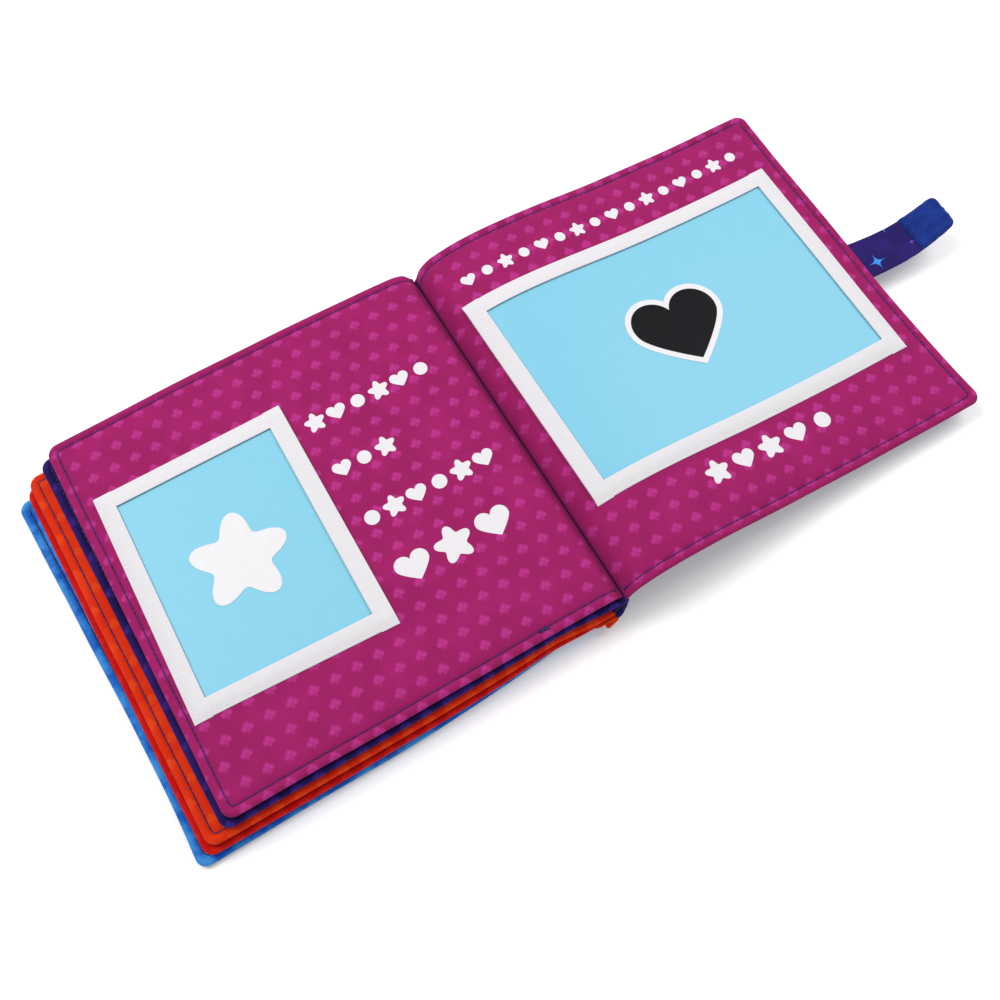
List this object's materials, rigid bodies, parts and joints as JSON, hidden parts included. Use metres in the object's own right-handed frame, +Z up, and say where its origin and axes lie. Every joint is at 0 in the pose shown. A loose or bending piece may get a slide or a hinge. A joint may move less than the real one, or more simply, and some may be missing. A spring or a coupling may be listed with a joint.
{
  "type": "baby photo album",
  "caption": "Soft padded cloth photo album for a baby, lying open, with hinged leaves, clear photo pockets and a strap that closes round the fore-edge.",
  "frame": {"origin": "middle of the footprint, on the table", "axes": "+X across the open spread from the leaves to the strap, +Y up the page, +Z up"},
  "size_m": [0.4304, 0.1886, 0.03],
  "materials": {
    "magenta_print": "printed polyester, soft sheen",
    "navy_print": "printed polyester, soft sheen",
    "orange_print": "printed polyester, soft sheen",
    "red_print": "printed polyester, soft sheen",
    "blue_print": "printed polyester, soft sheen",
    "outer_cloth": "printed polyester, soft sheen",
    "batting": "fluffy",
    "tape": "woven edge tape",
    "window": "clear soft film",
    "card": "coated card",
    "sticker": "coated print",
    "dark_print": "matt print",
    "grip": "hook and loop pile"
  },
  "bodies": {
    "front_cover": {"front_cover_lining": "blue_print", "front_cover_batting": "batting", "front_cover_cloth": "outer_cloth", "front_cover_grip": "grip", "spine_strip": "outer_cloth"},
    "leaf_1": {"leaf_1_left_page": "red_print", "leaf_1_batting": "batting", "leaf_1_right_page": "blue_print"},
    "leaf_2": {"leaf_2_left_page": "orange_print", "leaf_2_batting": "batting", "leaf_2_right_page": "red_print"},
    "leaf_3": {"leaf_3_left_page": "navy_print", "leaf_3_batting": "batting", "leaf_3_right_page": "orange_print"},
    "leaf_4": {"leaf_4_left_page": "magenta_print", "leaf_4_batting": "batting", "leaf_4_right_page": "navy_print", "left_pocket_left_tape": "tape", "left_pocket_right_tape": "tape", "left_pocket_front_tape": "tape", "left_pocket_back_tape": "tape", "left_pocket_window": "window"},
    "left_card": {"left_pocket_card": "card", "left_pocket_star": "sticker"},
    "back_cover": {"back_cover_lining": "magenta_print", "back_cover_batting": "batting", "back_cover_cloth": "outer_cloth", "right_pocket_left_tape": "tape", "right_pocket_right_tape": "tape", "right_pocket_front_tape": "tape", "right_pocket_back_tape": "tape", "right_pocket_window": "window", "right_pocket_card": "card", "right_pocket_heart_border": "sticker", "right_pocket_heart": "dark_print"},
    "closure_strap": {"strap": "outer_cloth", "strap_grip": "grip"}
  },
  "joints": [
    {"name": "leaf_4_turn", "type": "hinge", "parent": "front_cover", "child": "leaf_4", "pos_m": [-0.01583, 0.00288, 0.0205], "axis": [0, 1, 0], "range_deg": [0, 95]},
    {"name": "leaf_3_turn", "type": "hinge", "parent": "front_cover", "child": "leaf_3", "pos_m": [-0.01903, 0.00288, 0.0159], "axis": [0, 1, 0], "range_deg": [0, 59]},
    {"name": "leaf_2_turn", "type": "hinge", "parent": "front_cover", "child": "leaf_2", "pos_m": [-0.02303, 0.00288, 0.0113], "axis": [0, 1, 0], "range_deg": [0, 34.3]},
    {"name": "leaf_1_turn", "type": "hinge", "parent": "front_cover", "child": "leaf_1", "pos_m": [-0.02603, 0.00288, 0.0067], "axis": [0, 1, 0], "range_deg": [0, 14.35]},
    {"name": "back_cover_turn", "type": "hinge", "parent": "front_cover", "child": "back_cover", "pos_m": [-0.01363, 0.00288, 0.01955], "axis": [0, 1, 0], "range_deg": [-36, 0]},
    {"name": "strap_flex", "type": "hinge", "parent": "back_cover", "child": "closure_strap", "pos_m": [0.16912, -0.00312, 0.0113], "axis": [0, -1, 0], "range_deg": [0, 120]},
    {"name": "left_card_slide", "type": "slide", "parent": "leaf_4", "child": "left_card", "axis": [0.9994, -0.0349, 0], "range_m": [0, 0.07]}
  ],
  "couplings": [
    {"joint": "leaf_3_turn", "follows": "leaf_4_turn", "ratio": 0.62},
    {"joint": "leaf_2_turn", "follows": "leaf_4_turn", "ratio": 0.36},
    {"joint": "leaf_1_turn", "follows": "leaf_4_turn", "ratio": 0.15}
  ]
}
